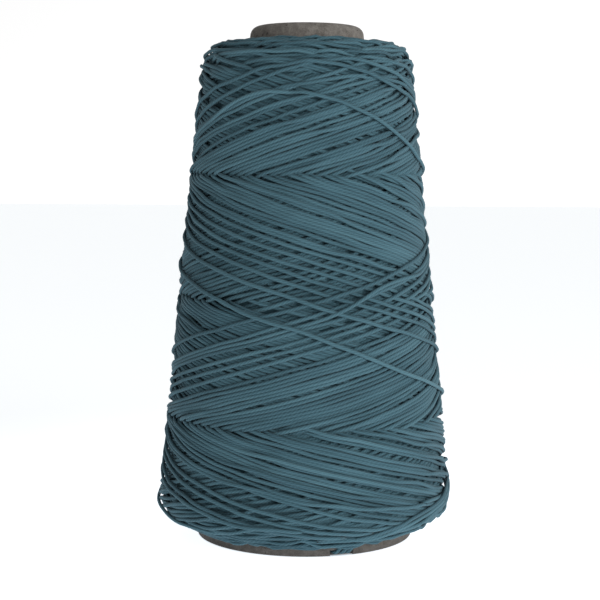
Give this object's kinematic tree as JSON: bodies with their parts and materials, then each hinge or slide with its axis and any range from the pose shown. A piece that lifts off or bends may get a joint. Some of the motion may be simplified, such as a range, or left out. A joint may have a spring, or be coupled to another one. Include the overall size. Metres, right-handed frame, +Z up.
{
  "type": "yarn cone",
  "caption": "Cone of cotton yarn: yarn cross-wound on a tapered paper cone with a curled nose, its start end laid over the base edge into the hollow cone.",
  "frame": {"origin": "centre of the paper cone's base rim, on the surface that it stands on", "axes": "+Z up along the cone's axis, from the base to the nose; -Y is the front; the notch for the yarn's start is in the base rim, 19.4 degrees from the front towards +X"},
  "size_m": [0.0988, 0.0988, 0.17],
  "materials": {
    "board": "matte grey-brown recycled board with dark flecks",
    "yarn": "matte plied cotton yarn, petrol blue"
  },
  "bodies": {
    "root": {"paper_cone": "board", "yarn_package": "yarn", "start_tail": "yarn", "start_loop": "yarn"}
  },
  "joints": []
}
